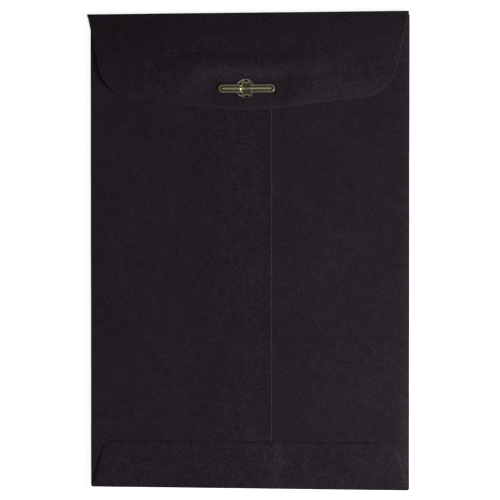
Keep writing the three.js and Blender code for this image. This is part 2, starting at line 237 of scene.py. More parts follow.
# %% [markdown]
# ## The pocket's slow waves
# An empty envelope is never quite flat: its paper carries waves a few centimetres long and a
# tenth of a millimetre high, which a low light shows as soft lighter and darker patches. Noise
# would do, but three slanted sine waves are smooth and can be read. Every sheet above the front
# panel shares them, so the stacked sheets never cut each other. They fade out at the folds and
# under the clasp.

# %% Slow waves
# Height, length, angle and phase of each wave
WAVES = [(0.045, 92, 25, 0.3), (0.040, 71, 118, 2.1), (0.032, 54, 63, 4.0)]
# Distance over which there are no waves, and the run in which they grow after it
STILL_SIDE, SIDE_RUN = 2, 12
STILL_END, END_RUN = 6, 14
STILL_CLASP, CLASP_RUN = 12, 14


def swell(x, y):
    """Sum of sine waves along slanted lines, times a smooth fade at the folds and the clasp."""
    total = 0
    for height, length, angle, phase in WAVES:
        slant = math.radians(angle)
        travel = x * math.cos(slant) + y * math.sin(slant)
        total = total + height * np.sin(2 * math.pi * travel / length + phase)
    sides = fade(HALF_WIDTH - STILL_SIDE - np.abs(x), SIDE_RUN)
    ends = fade(HALF_HEIGHT - STILL_END - np.abs(y), END_RUN)
    clasp = fade(np.hypot(x - CLASP_X, y - CLASP_Y) - STILL_CLASP, CLASP_RUN)
    return total * (sides * ends) * clasp


# %% [markdown]
# ## Flat sheets with straight edges
# The front panel and both side panels are rectangles. A grid is finer where something happens,
# such as at a cut edge or where the left panel climbs over the hidden edge of the right one.

# %% Rectangular sheets
GRID_STEP = 1.6
EDGE_STEP = 0.3


def stations(start, end, *fine, step=GRID_STEP, edge=EDGE_STEP):
    """Places along a line: even steps, one small step at each end, and extra fine ranges."""
    even = np.linspace(start + edge, end - edge, max(2, round((end - start) / step)))
    extra = [np.arange(low, high, spacing) for low, high, spacing in fine]
    return np.unique(np.round(np.concatenate([[start], even, *extra, [end]]), 4))


def rectangle_sheet(name, xs, ys, top_at, bulges, across_at=lambda x, y: x):
    """A sheet over a grid of xs and ys.

    Bulges are for its bottom, right, top and left edge, counter-clockwise: 1, 0 or one per point.
    """
    x, y = np.meshgrid(xs, ys)
    x = across_at(x, y)
    top = top_at(x, y)
    outer = np.stack([x, y, top], axis=-1).reshape(-1, 3)
    inner = outer - [0, 0, PAPER]
    border = (grid_border(*x.shape), edge_bulges(*x.shape, bulges))
    return closed_sheet(name, outer, inner, grid_quads(*x.shape), [border])


# %% [markdown]
# ## Front panel
# The address side: a plain sheet, flat on the table, that ends a little before each fold. Above the
# ends of the side folds it is as wide as the envelope, with cut sides. Only its edges and its inner
# face at the open mouth are ever seen.

# %% Front panel
FOLD_FLAT = 0.9  # flat strip that belongs to each fold piece, so that the shading runs on smoothly
side_line = HALF_WIDTH - (side_fold.over / 2 + FOLD_FLAT)
bottom_line = -HALF_HEIGHT + bottom_flap.over / 2 + FOLD_FLAT
TOP_FLAT = 1.5
top_line = HALF_HEIGHT - TOP_FLAT
CUT_STEP = 0.2
SPREAD_RUN = 6


def past_folds(y):
    return y > side_fold.top + CUT_STEP / 2


def front_across(x, y):
    """Spreads the last few millimetres at each side out to the envelope's width, above the folds."""
    spread = (HALF_WIDTH - PAPER / 2 - side_line) * fade(np.abs(x) - side_line + SPREAD_RUN, SPREAD_RUN)
    return x + np.sign(x) * spread * past_folds(y)


front_ys = stations(bottom_line, top_line, (side_fold.top, side_fold.top + 1.5 * CUT_STEP, CUT_STEP))
front_panel = rectangle_sheet(
    "front_panel_sheet",
    stations(-side_line, side_line),
    front_ys,
    lambda x, y: np.full_like(x, PAPER),
    (0, past_folds(front_ys[:-1]), 0, past_folds(front_ys[:0:-1])),
    front_across,
)

# %% [markdown]
# ## Side panels and the centre seam
# The left panel lies on top. It climbs over the right panel's hidden edge, and its own cut edge
# makes the line down the middle of the envelope. Seam glue stops short of that edge, so the last
# few millimetres curl up by less than a tenth of a millimetre.

# %% Side panels
climb = left_panel.over - right_panel.over
SEAM_ROOM = 0.1
STEP_RUN = 22.0
step_start = right_panel.left - SEAM_ROOM - STEP_RUN
SAG, LOW_SAG = 0.11, 0.30  # the right fold is pressed lower than the stack, most of all low down
SAG_RUN, LOW_SAG_RUN = 3.4, 5.5
LOW_START, LOW_START_RUN, LOW_END_RUN = -48, 30, 16  # where the low sag starts, and its fades
LIP_RUN = 4.5
LIP_HEIGHT = 0.07
LIP_END_RUN = 10  # the lip grows over this run from the bottom flap, and from the panel's end
panel_ys = stations(side_fold.bottom, side_fold.top)


def sag_at(y):
    """Depth and run of the sag at the right fold."""
    low = fade(LOW_START - y, LOW_START_RUN) * fade(y + HALF_HEIGHT, LOW_END_RUN)
    return SAG + (LOW_SAG - SAG) * low, SAG_RUN + (LOW_SAG_RUN - SAG_RUN) * low


def side_sag(x, y):
    """How far a sheet comes down towards the right fold: depth (1 - distance / run)^2."""
    depth, run = sag_at(y)
    return depth * (1 - np.clip((side_line - x) / run, 0, 1)) ** 2


def right_panel_top(x, y):
    """The right panel's level plus the slow waves, less the sag at its fold."""
    return right_panel.over + swell(x, y) - side_sag(x, y)


def left_panel_top(x, y):
    """The lower level, one smooth climb over the hidden edge, and a slight lip at the cut edge."""
    lip = LIP_HEIGHT * fade(x - (left_panel.right - LIP_RUN), LIP_RUN)
    held = fade(y - (bottom_flap.top + 1), LIP_END_RUN) * fade(side_fold.top - 2 - y, LIP_END_RUN)
    return right_panel_top(x, y) + climb * fade(x - step_start, STEP_RUN) + lip * held


right_side_panel = rectangle_sheet(
    "right_side_panel_sheet",
    stations(right_panel.left, side_line, (side_line - LOW_SAG_RUN, side_line, 0.5)),
    panel_ys,
    right_panel_top,
    (1, 0, 1, 1),
)
left_side_panel = rectangle_sheet(
    "left_side_panel_sheet",
    stations(
        -side_line,
        left_panel.right - PAPER / 2,
        (left_panel.right - LIP_RUN, left_panel.right - PAPER, 0.5),
    ),
    panel_ys,
    left_panel_top,
    (1, 1, 1, 0),
)

# %% [markdown]
# ## Folds
# A fold could be a half cylinder, but paper folds into a soft half-round that wavers a little
# along its length. Each fold is a strip whose section is an arc between two short flats, swept
# along the edge while its height and its reach vary by a few hundredths of a millimetre.

# %% Fold strips
FOLD_ARC_STEPS = 20


def fold_section(height, flat_end, lean, thickness=0.0):
    """Section of a fold as (out, up) over stations by steps, out being 0 at the outermost line.

    With r half the height, the arc is (r cos a - r, r + r sin a) for a from -90 to 90 degrees,
    and a flat runs back to -flat_end above and below. The upper one climbs at the slope lean.
    A thickness draws the section inwards.
    """
    radius = np.asarray(height, float)[:, None] / 2
    angle = np.linspace(-math.pi / 2, math.pi / 2, FOLD_ARC_STEPS + 1)[None, :]
    small = radius - thickness
    out = small * np.cos(angle) - radius
    up = radius + small * np.sin(angle)
    share = np.linspace(0, 1, 4)[None, :-1]
    flat = -flat_end + share * (flat_end - radius)
    low = np.broadcast_to(up[:, :1], flat.shape)
    high = up[:, -1:] - lean[:, None] * (flat[:, ::-1] + radius)
    out = np.concatenate([flat, out, flat[:, ::-1]], axis=1)
    return out, np.concatenate([low, up, high], axis=1)


def waver(along, size, seed):
    """A small uneven drift along an edge: three sines with unrelated lengths."""
    waves = np.sin(along / 17.0 + seed) + 0.6 * np.sin(along / 7.3 + 2.1 * seed)
    return size * (waves + 0.3 * np.sin(along / 2.9 + seed))


def fold_strip(name, along, level, flat_end, edge_at, to_space, lean=0.0):
    """Sweeps the fold section along an edge; to_space turns (along, out, up) into points.

    The level is that of the sheet at the inner end of the upper flat. With the flat's lean it gives
    the height h of the fold itself: h + lean (flat_end - h / 2) is the level.
    """
    lean = np.broadcast_to(lean, along.shape)
    height = (level - lean * flat_end) / (1 - lean / 2)
    faces = []
    for thickness in (0.0, PAPER):
        out, up = fold_section(height, flat_end, lean, thickness)
        held = fade(out + flat_end, flat_end / 2)
        out = out + edge_at(along)[:, None] * held
        faces.append(to_space(np.broadcast_to(along[:, None], out.shape), out, up).reshape(-1, 3))
    border = (grid_border(*out.shape), edge_bulges(*out.shape, (1, 0, 1, 0)))
    return closed_sheet(name, *faces, grid_quads(*out.shape), [border])


WAVER = 0.02
sag_depth, sag_run = sag_at(panel_ys)
fold_pieces = {}
for side, name, depth in ((1, "right_fold", sag_depth), (-1, "left_fold", np.zeros_like(panel_ys))):
    fold_pieces[name] = fold_strip(
        name + "_strip",
        panel_ys,
        side_fold.over - depth,
        side_fold.over / 2 + FOLD_FLAT,
        lambda along, side=side: waver(along, WAVER, 1.7 + side),
        lambda along, out, up, side=side: np.stack([side * (HALF_WIDTH + out), along, up], axis=-1),
        lean=2 * depth / sag_run,
    )

# %% [markdown]
# ## Bottom fold and bottom flap
# The bottom flap is turned up over both panels and glued down. It drapes over the seam, where the
# stack is one sheet thicker, so the seam still shows through it as a faint step.

# %% Bottom fold and flap
seam_edge = left_panel.right + SEAM_ROOM
DRAPE_RUN = 5.0
MARGIN_DROP = 0.035  # the dry margin along the bottom flap's cut edge lies down by this much
MARGIN_RUN = 1.0


def drape(x):
    """How far the bottom flap is lifted over the seam: up by one sheet, and down again."""
    return climb * (fade(x - step_start, STEP_RUN) - fade(x - seam_edge, DRAPE_RUN))


def bottom_flap_top(x, y):
    dropped = MARGIN_DROP * fade(y - bottom_flap.top + MARGIN_RUN, MARGIN_RUN)
    return bottom_flap.over - climb + drape(x) + swell(x, y) - side_sag(x, y) - dropped


bottom_xs = stations(
    bottom_fold.left + PAPER / 2,
    bottom_fold.right - PAPER / 2,
    (seam_edge, seam_edge + DRAPE_RUN, 0.4),
)
bottom_heights = bottom_flap_top(bottom_xs, np.full_like(bottom_xs, bottom_line))
bottom_flat_end = bottom_flap.over / 2 + FOLD_FLAT
fold_pieces["bottom_fold"] = fold_strip(
    "bottom_fold_strip",
    bottom_xs,
    bottom_heights,
    bottom_flat_end,
    lambda along: waver(along, WAVER, 5.2),
    lambda along, out, up: np.stack([along, -HALF_HEIGHT - out, up], axis=-1),
)

# %% [markdown]
# ## Sheets with a curved outline
# The bottom flap and the seal flap have round corners. A grid can still cover them: a Coons patch
# blends four border curves into a surface. Its own corners sit in the middle of the round ones,
# so no cell is squeezed to a point.

# %% Curved outlines
def corner_arc(before, corner, after, radius, steps=16):
    """Points of the arc of a given radius that rounds off a corner between two straight sides."""
    back = unit(np.subtract(before, corner))
    ahead = unit(np.subtract(after, corner))
    half = math.acos(np.clip(np.dot(back, ahead), -1, 1)) / 2
    centre = np.asarray(corner) + unit(back + ahead) * radius / math.sin(half)
    start = np.asarray(corner) + back * radius / math.tan(half) - centre
    end = np.asarray(corner) + ahead * radius / math.tan(half) - centre
    share = np.linspace(0, 1, steps + 1)[:, None]
    turn = math.pi - 2 * half
    mix = np.sin((1 - share) * turn) * start + np.sin(share * turn) * end
    return centre + mix / math.sin(turn)


def resample(path, shares):
    """Points at the given shares of a path's length."""
    path = np.asarray(path, float)
    reach = np.concatenate([[0], np.cumsum(np.linalg.norm(np.diff(path, axis=0), axis=1))])
    return np.stack([np.interp(shares * reach[-1], reach, path[:, k]) for k in range(2)], axis=1)


def coons(bottom, top, left, right, columns, rows):
    """Coons patch: both pairs of borders blended in straight lines, less the blend of the corners."""
    u, v = columns[None, :, None], rows[:, None, None]
    low, high = resample(bottom, columns)[None], resample(top, columns)[None]
    west, east = resample(left, rows)[:, None], resample(right, rows)[:, None]
    low_corners = (1 - u) * low[:, :1] + u * low[:, -1:]
    high_corners = (1 - u) * high[:, :1] + u * high[:, -1:]
    corners = (1 - v) * low_corners + v * high_corners
    return (1 - v) * low + v * high + (1 - u) * west + u * east - corners


def shares_of(length, step):
    """Shares from 0 to 1 in even steps, with one small step at each end."""
    return stations(0, length, step=step) / length


# %% [markdown]
# ## Bottom flap
# Pressing and gluing leave the paper thinner along the bottom flap's cut edge, most of all at its
# corners, so that its line shows only faintly.

# %% Bottom flap
BOTTOM_SLANT = 6.2
BOTTOM_CORNER_R = 7.0
PRESS_RUN = 1.0
PRESS_TOP, PRESS_CORNER = 0.11, 0.15  # how much thinner the paper is along its edge and at its corners
CORNER_START, CORNER_RUN = 55, 14  # along X, from the middle
BOTTOM_STEP = 1.2
FINE_RUN = 1.5  # the grid is finer over this run at the cut edge


def pressed_edge(x, y):
    """How far the outer face sinks near the cut edges; in a corner the distance is taken to its arc."""
    share = (y - bottom_flap.bottom) / (bottom_flap.top - bottom_flap.bottom)
    from_side = bottom_flap.right - BOTTOM_SLANT * share - np.abs(x)
    from_top = bottom_flap.top - y
    reach = np.hypot(np.maximum(BOTTOM_CORNER_R - from_side, 0), np.maximum(BOTTOM_CORNER_R - from_top, 0))
    depth = PRESS_TOP + (PRESS_CORNER - PRESS_TOP) * fade(np.abs(x) - CORNER_START, CORNER_RUN)
    return depth * (1 - fade(BOTTOM_CORNER_R - reach, PRESS_RUN))


def bottom_flap_patch(margin):
    """The bottom flap's outline as a grid: slanted sides and two round corners, drawn in by a margin."""
    start = bottom_line
    share = (start - bottom_flap.bottom) / (bottom_flap.top - bottom_flap.bottom)
    wide = bottom_flap.right - margin - share * BOTTOM_SLANT
    narrow = bottom_flap.right - margin - BOTTOM_SLANT
    top = bottom_flap.top - margin
    left = corner_arc((-wide, start), (-narrow, top), (narrow, top), BOTTOM_CORNER_R)
    right = corner_arc((-narrow, top), (narrow, top), (wide, start), BOTTOM_CORNER_R)
    middle = len(left) // 2
    return coons(
        [(-wide, start), (wide, start)],
        [*left[middle:], *right[: middle + 1]],
        [(-wide, start), *left[: middle + 1]],
        [(wide, start), *right[: middle - 1 : -1]],
        shares_of(2 * bottom_flap.right, BOTTOM_STEP),
        stations(0, top - start, (top - start - FINE_RUN, top - start, EDGE_STEP), step=BOTTOM_STEP)
        / (top - start),
    )


plan = bottom_flap_patch(PAPER / 2)
grid = plan.shape[:2]
bottom_height = bottom_flap_top(plan[..., 0], plan[..., 1])
bottom_flap_sheet = closed_sheet(
    "bottom_flap_sheet",
    np.dstack([plan, bottom_height - pressed_edge(plan[..., 0], plan[..., 1])]).reshape(-1, 3),
    np.dstack([plan, bottom_height - PAPER]).reshape(-1, 3),
    grid_quads(*grid),
    [(grid_border(*grid), edge_bulges(*grid, (0, 1, 1, 1)))],
)

# %% [markdown]
# ## Seal flap
# The flap comes over the top fold, bulges a little because the fold springs, and is pressed down
# again where the clasp holds it. Its lower edge is a shallow V with a soft nose, and its sides lean
# in. A round hole lets the clasp through: the grid cells round it are left out, and rings of
# points take over from the square gap to the circle.

# %% Flap outline
FLAP_SHIFT = CLASP_X
FLAP_HALF = (seal_flap.right - seal_flap.left) / 2
FLAP_DEPTH = HALF_HEIGHT - seal_flap.bottom
FLAP_SIDE_DEPTH = 39.4
FLAP_LEAN = 8.4
FLAP_CORNER_R = 19.0
FLAP_NOSE_R = 10.0
EYELET_R = 4.5
side_lean = FLAP_LEAN / FLAP_SIDE_DEPTH
flap_half = FLAP_HALF + side_lean * (HALF_HEIGHT - seal_flap.top)
end_half = flap_half - FLAP_LEAN
nose_fall = (FLAP_DEPTH - FLAP_SIDE_DEPTH) / (math.hypot(end_half, FLAP_NOSE_R) - FLAP_NOSE_R)


def edge_depth(x):
    """Depth of the flap's lower edge: deepest at its nose, falling off along a softened V."""
    return FLAP_DEPTH - nose_fall * (np.hypot(x - FLAP_SHIFT, FLAP_NOSE_R) - FLAP_NOSE_R)


def flap_patch(start, margin, step):
    """The flap below a line at y = start as a grid, with its cut sides drawn in by a margin."""
    wide = flap_half - margin - side_lean * (HALF_HEIGHT - start)
    corner = end_half - margin
    corner_y = HALF_HEIGHT - FLAP_SIDE_DEPTH + margin
    reach = end_half - FLAP_CORNER_R
    nose_x = FLAP_SHIFT + np.linspace(-reach, reach, 97)
    nose = np.stack([nose_x, HALF_HEIGHT - edge_depth(nose_x) + margin], axis=1)
    arcs = []
    for side, near in ((-1, nose[0]), (1, nose[-1])):
        high = (FLAP_SHIFT + side * wide, start)
        low = (FLAP_SHIFT + side * corner, corner_y)
        arcs.append(corner_arc(high, low, near, FLAP_CORNER_R - margin))
    left, right = arcs
    middle = len(left) // 2
    return coons(
        [*left[middle:], *nose[1:-1], *right[: middle - 1 : -1]],
        [(FLAP_SHIFT - wide, start), (FLAP_SHIFT + wide, start)],
        [*left[middle::-1], (FLAP_SHIFT - wide, start)],
        [*right[middle::-1], (FLAP_SHIFT + wide, start)],
        shares_of(2 * end_half, step),
        shares_of(start - seal_flap.bottom, step),
    )


# %% [markdown]
# The flap's height is worked out over x and y, not over the grid, so the flap, its gum and the top
# fold all read the same surface.

# %% Flap surface
HEAD = 1.10  # level at the top fold, pressed lower than the half-round of the construction
CREST = 2.50  # highest level, on the flap's middle line
CREST_DEPTH = 31.0
EDGE_LEVEL = 1.45
LEFT_DROP, RIGHT_DROP = 1.40, 1.00  # the crest is lower at the flap's two sides by this much
CORNER_DROP = 0.25
RIDGE = 0.38  # buckle across the flap just above the clasp
RIDGE_DEPTH = 18.0
RIDGE_RUN, RIDGE_FALL = 6.0, 14
RIDGE_HALF, RIDGE_FADE = 22, 26  # half its length, and the run in which it ends
HELD_X, HELD_Y = 14.4, 3.0  # half width and height of the flat that the wings press down
DIMPLE_X, DIMPLE_Y = 18.0, 8.5  # run in which the dimple round it rises


def held_down(x, y):
    """1 on the flat under the wings, fading to 0 over the dimple round it."""
    across = 1 - fade(np.abs(x - CLASP_X) - HELD_X, DIMPLE_X)
    return across * (1 - fade(np.abs(y - CLASP_Y) - HELD_Y, DIMPLE_Y))


def flap_top(x, y):
    """The flap's outer face.

    A quarter sine climbs from the fold to the crest, and a quarter cosine falls to the lower edge.
    A ridge lies across it above the clasp, and the flat under the wings is pressed down.
    """
    depth = HALF_HEIGHT - y
    side = (x - FLAP_SHIFT) / flap_half
    crest = CREST - np.where(side < 0, LEFT_DROP, RIGHT_DROP) * side**2
    edge = EDGE_LEVEL - CORNER_DROP * side**2
    rise = HEAD + (crest - HEAD) * np.sin(math.pi / 2 * np.clip(depth / CREST_DEPTH, 0, 1))
    past = np.clip((depth - CREST_DEPTH) / (edge_depth(x) - CREST_DEPTH), 0, 1)
    fall = edge + (crest - edge) * np.cos(math.pi / 2 * past)
    ridge = fade(depth - RIDGE_DEPTH, RIDGE_RUN) * (1 - fade(depth - RIDGE_DEPTH - RIDGE_RUN, RIDGE_FALL))
    ridge = RIDGE * ridge * (1 - fade(np.abs(x - CLASP_X) - RIDGE_HALF, RIDGE_FADE))
    free = np.where(depth < CREST_DEPTH, rise, fall) + ridge + swell(x, y)
    return seal_flap.over + (free - seal_flap.over) * (1 - held_down(x, y))


# %% [markdown]
# The flap and its gum both have a round hole, so one function makes them.

# %% Sheets with a hole
WINDOW_MARGIN = 1.6  # from the hole to the window of cells that are left out round it
RIM_RING = 0.3  # width of the last ring of cells, at the hole


def holed_sheet(name, plan, hole, ring_count, thickness, top_at):
    """A sheet over a plan grid with a round hole at the eyelet.

    Cells in a square window round the hole are left out. From the window's border, rings of points
    run straight to the circle, each ring a fixed share of the way.
    """
    rows, columns = plan.shape[:2]
    flat = plan.reshape(-1, 2)
    centre = np.array([EYELET_X, CLASP_Y])
    inside = np.max(np.abs(plan - centre), axis=-1) < hole + WINDOW_MARGIN
    row_set = np.flatnonzero(inside.any(axis=1))
    column_set = np.flatnonzero(inside.any(axis=0))
    low, high, west, east = row_set[0], row_set[-1], column_set[0], column_set[-1]
    index = np.arange(rows * columns).reshape(rows, columns)
    window = index[low : high + 1, west : east + 1]
    border = window.ravel()[grid_border(*window.shape)]
    quads = grid_quads(rows, columns)
    left_out = np.zeros((rows - 1, columns - 1), bool)
    left_out[low:high, west:east] = True
    quads = quads[~left_out.ravel()]
    circle = centre + hole * unit(flat[border] - centre)
    points, previous, total = [flat], border, len(flat)
    for share in np.append(np.linspace(0, 1 - RIM_RING / WINDOW_MARGIN, ring_count)[1:], 1.0):
        points.append(flat[border] * (1 - share) + circle * share)
        row = np.arange(total, total + len(border))
        quads = np.vstack([quads, ring_quads(previous, row)])
        previous = row
        total += len(border)
    flat = np.vstack(points)
    used, quads = np.unique(quads, return_inverse=True)
    quads = quads.reshape(-1, 4)
    place = np.zeros(total, int)
    place[used] = np.arange(len(used))
    flat = flat[used]
    top = top_at(flat[:, 0], flat[:, 1])
    outer = np.column_stack([flat, top])
    outer_border = (place[grid_border(rows, columns)], edge_bulges(rows, columns, (1, 1, 0, 1)))
    hole_border = (place[previous[::-1]], 1)
    return closed_sheet(name, outer, outer - [0, 0, thickness], quads, [outer_border, hole_border])


flap_plan = flap_patch(top_line, PAPER / 2, 1.0)
flap_sheet = holed_sheet("seal_flap_sheet", flap_plan, EYELET_R, 5, PAPER, flap_top)

# %% [markdown]
# ## Top fold
# The strip between the front panel and the flap. Its upper line takes its height from the flap's
# surface, and both ends are cut edges.

# %% Top fold
top_xs = stations(top_fold.left + PAPER / 2, top_fold.right - PAPER / 2)
top_levels = flap_top(top_xs, np.full_like(top_xs, top_line))
LEAN_STEP = 0.1
top_lean = (flap_top(top_xs, np.full_like(top_xs, top_line - LEAN_STEP)) - top_levels) / LEAN_STEP
fold_pieces["top_fold"] = fold_strip(
    "top_fold_strip",
    top_xs,
    top_levels,
    TOP_FLAT,
    lambda along: waver(along, WAVER, 3.1),
    lambda along, out, up: np.stack([along, HALF_HEIGHT + out, up], axis=-1),
    lean=top_lean,
)

# %% [markdown]
# The flap's upper left corner has painted shade: its colour is made darker there. A mark says how much,
# from 1 at the left of the fold to 0 near the clasp. The fold itself has a weaker painted shade along its
# whole length.

# %% Painted shade on the flap
# Painted shade: where the flap and the fold are darkened, and how strongly
PAINTED_SHADE_X, PAINTED_SHADE_X_RUN = -52, 40
PAINTED_SHADE_DEPTH, PAINTED_SHADE_DEPTH_RUN = 8, 20
CREASE_SHADE, CREASE_DEPTH, CREASE_DEPTH_RUN = 0.3, 4, 10


def painted_shade_share(x, y, z):
    """Share of painted shade: a fade to the right times a fade down the flap, or a weak one along the whole
    fold.
    """
    depth = HALF_HEIGHT - y
    corner = (1 - fade(x - PAINTED_SHADE_X, PAINTED_SHADE_X_RUN)) * (1 - fade(depth - PAINTED_SHADE_DEPTH, PAINTED_SHADE_DEPTH_RUN))
    crease = CREASE_SHADE * (1 - fade(depth - CREASE_DEPTH, CREASE_DEPTH_RUN))
    return np.maximum(corner, crease)


for piece in (flap_sheet, fold_pieces["top_fold"]):
    mark_points(piece, "painted_shade", painted_shade_share)

# %% [markdown]
# ## Gum, glue and the patch inside
# The flap's inner face carries dry gum, and each seam holds a film of glue. The clasp's clinched
# teeth are covered by a paper patch inside the pocket. They are thin sheets like the rest.

# %% Gum on the flap
GUM_MARGIN = 2.0
GUM_ROOM = 0.3  # bare paper round the eyelet patch
ring_outer = (patch.right - patch.left) / 2
flap_gum = holed_sheet(
    "flap_gum_film",
    flap_patch(gum.top, GUM_MARGIN, 1.2),
    ring_outer + GUM_ROOM,
    4,
    seal_flap.under - gum.under,
    lambda x, y: flap_top(x, y) - PAPER,
)

# %% [markdown]
# The cover patch has a glued border that lies against the panels, and a middle that dips under the
# teeth. The construction's box gives both levels.

# %% Patch over the clinched teeth
COVER_BORDER = 2.0
COVER_SLOPE = 1.5


def cover_top(x, y):
    """The patch's glued border lies against the panel, and its middle dips under the teeth."""
    from_side = (cover.right - cover.left) / 2 - np.abs(x - CLASP_X)
    from_end = (cover.top - cover.bottom) / 2 - np.abs(y - CLASP_Y)
    dip = fade(np.minimum(from_side, from_end) - COVER_BORDER, COVER_SLOPE)
    return cover.over - dip * (cover.over - cover.under - PAPER)


cover_patch = rectangle_sheet(
    "clasp_cover_patch_sheet",
    stations(cover.left, cover.right, step=0.5),
    stations(cover.bottom, cover.top, step=0.5),
    cover_top,
    (1, 1, 1, 1),
)

# %% [markdown]
# ## Eyelet patch
# A ring of pale hard fibre behind the flap's hole. It shows as a thin broken line inside the hole.
# A lathe is the natural way: a rounded section carried once round the eyelet's middle. Its radius
# varies by about a hundredth, because the fibre is cut a little unevenly.

# %% Eyelet patch
RING_STEPS = 160
EYELET_LIP = 0.25  # the patch shows this far inside the flap's hole
# Share of the radius, count and phase of each wave round the ring
FUZZ = [(0.012, 9, 0), (0.008, 23, 1)]
ring_inner = EYELET_R - EYELET_LIP
ring_half = (patch.over - patch.under) / 2
ring_level = (patch.over + patch.under) / 2


def ring_section(steps=10):
    """A flat slot shape: two half circles of the ring's half thickness, joined by straight lines."""
    turn = np.linspace(-math.pi / 2, math.pi / 2, steps + 1)
    outer_side = np.stack([ring_outer - ring_half + ring_half * np.cos(turn), ring_half * np.sin(turn)], 1)
    inner_side = np.stack([ring_inner + ring_half - ring_half * np.cos(turn), -ring_half * np.sin(turn)], 1)
    return np.vstack([outer_side, inner_side])


section = ring_section()
around = np.linspace(0, 2 * math.pi, RING_STEPS, endpoint=False)
fuzz = 1 + sum(size * np.sin(count * around + phase) for size, count, phase in FUZZ)
reach = section[None, :, 0] * fuzz[:, None]
ring_points = np.stack(
    [
        EYELET_X + reach * np.cos(around)[:, None],
        CLASP_Y + reach * np.sin(around)[:, None],
        ring_level + np.broadcast_to(section[None, :, 1], reach.shape),
    ],
    axis=-1,
)
ring_points[..., 2] += flap_top(ring_points[..., 0], ring_points[..., 1]) - seal_flap.over
cells = np.arange(ring_points.shape[0] * ring_points.shape[1]).reshape(ring_points.shape[:2])
ring_cells = np.vstack([ring_quads(cells[k], cells[(k + 1) % RING_STEPS]) for k in range(RING_STEPS)])
eyelet_ring = make_object("eyelet_patch_ring", ring_points.reshape(-1, 3), ring_cells)

# %% [markdown]
# ## Clasp wings
# Each wing is a strip of thin brass with a bead pressed along it: a ridge above, and a groove below.
# Pressing also rolls its edges off, which is why they catch the light as a thin bright rim. The
# wing is one height field over a strip with a round end. The end maps a square onto a half disc,
# so that no point of the grid is squeezed to a pole.

# %% Wings
WING_INSET = 0.15  # the rim bulges past the outline of the grid
RIM_BULGE = 0.6  # in half thicknesses: a stamped edge is rounded less than a half circle
WING_HALF = (wing.top - wing.bottom) / 2 - WING_INSET
WING_ROOT = wing.left - CLASP_X
WING_TIP = wing.right - CLASP_X - WING_INSET
WING_RUN = 1.2
BEAD_HALF = 0.52
LYING_GAP = 0.02  # air under a wing that lies on the flap
BEAD_HEIGHT = wing.over - METAL - (seal_flap.over + LYING_GAP)
BEAD_RUN = 0.8
BEAD_TIP = 1.6
BEAD_END_RUN = 0.5
BEAD_POWER = 1.4  # above 1 the ridge is narrower than a plain half wave
GROOVE_SHARE = 0.85  # the groove below is shallower than the ridge above
ARCH = 0.15  # a wing springs up in its middle by this much
ROLL_RUN = 0.30
ROLL_DEPTH = 0.09
ROLL_START, ROLL_START_RUN = 0.84, 0.8  # the rims are rolled from here on, past the root
CLIMB_GRID = 2.2  # the grid is finer over this length past the root
STRIP_START = 4.8  # and coarser from here on, from the clasp's middle


def wing_plan():
    """Grid over the wing: a straight strip, then a half disc.

    The half disc is x = u sqrt(1 - v^2/2), y = v sqrt(1 - u^2/2).
    """
    rim = np.linspace(0.85, 1, 9)
    v = np.unique(np.round(np.concatenate([np.linspace(-1, 1, 41), rim, -rim]), 4))
    climb = np.linspace(WING_ROOT, WING_ROOT + CLIMB_GRID, 23)
    straight = np.concatenate([climb, np.linspace(STRIP_START, WING_TIP - WING_HALF, 34)])
    u = np.sin(np.linspace(0, math.pi / 2, 31))[1:, None]
    along = np.vstack([
        np.repeat(straight[:, None], len(v), axis=1),
        WING_TIP - WING_HALF + WING_HALF * u * np.sqrt(1 - v**2 / 2),
    ])
    across = np.vstack([
        np.repeat(WING_HALF * v[None], len(straight), axis=0),
        WING_HALF * v * np.sqrt(1 - u**2 / 2),
    ])
    return along, across


def from_wing_line(along, across):
    """Distance from the wing's middle line; past its end, from the centre of the round tip."""
    return np.hypot(np.maximum(along - (WING_TIP - WING_HALF), 0), across)


def wing_faces():
    """Upper and lower face: a climb out of the eyelet and a slight arch, plus the bead, less the roll."""
    along, across = wing_plan()
    share = np.clip((along - WING_ROOT) / WING_RUN, 0, 1)
    climbing = share**3 * (share * (6 * share - 15) + 10)
    low = base.over - BEAD_HEIGHT - METAL + LYING_GAP
    level = low + METAL + climbing * (seal_flap.over + LYING_GAP - low)
    level += ARCH * np.sin(math.pi * np.clip((along - WING_ROOT) / (WING_TIP - WING_ROOT), 0, 1)) ** 2
    past_root = fade(along - WING_ROOT + BEAD_RUN, BEAD_RUN)
    before_tip = fade(WING_TIP - BEAD_TIP - along, BEAD_END_RUN)
    ridge = np.cos(math.pi / 2 * np.clip(np.abs(across) / BEAD_HALF, 0, 1)) ** BEAD_POWER
    bead = BEAD_HEIGHT * ridge * past_root * before_tip
    past_climb = fade(along - WING_ROOT - ROLL_START, ROLL_START_RUN)
    from_rim = WING_HALF - from_wing_line(along, across)
    rolled = ROLL_DEPTH * (1 - fade(from_rim, ROLL_RUN)) * past_climb
    upper = np.stack([along, across, level + bead - rolled], axis=-1)
    lower = np.stack([along, across, level - METAL + GROOVE_SHARE * bead], axis=-1)
    return upper, lower


def make_wing(name, side):
    """Places the wing at the clasp, mirrored for the left one."""
    upper, lower = wing_faces()
    grid = upper.shape[:2]
    place = [face.reshape(-1, 3) * [side, 1, 1] + [CLASP_X, CLASP_Y, 0] for face in (upper, lower)]
    quads, border = grid_quads(*grid), grid_border(*grid)
    if side > 0:
        quads, border = quads[:, ::-1], border[::-1]
    return closed_sheet(name, *place, quads, [(border, RIM_BULGE)])


right_wing = make_wing("right_wing_pressing", 1)
left_wing = make_wing("left_wing_pressing", -1)

# %% [markdown]
# ## Clasp base
# The base plate has toothed ends, round notches and reliefs, which the construction already cuts
# exactly. So it is a copy of that node: its loose triangles are merged, a small bevel softens
# every stamped edge, and plain subdivision gives it points near its rim. The rim rolls off a little
# like that of the wings.

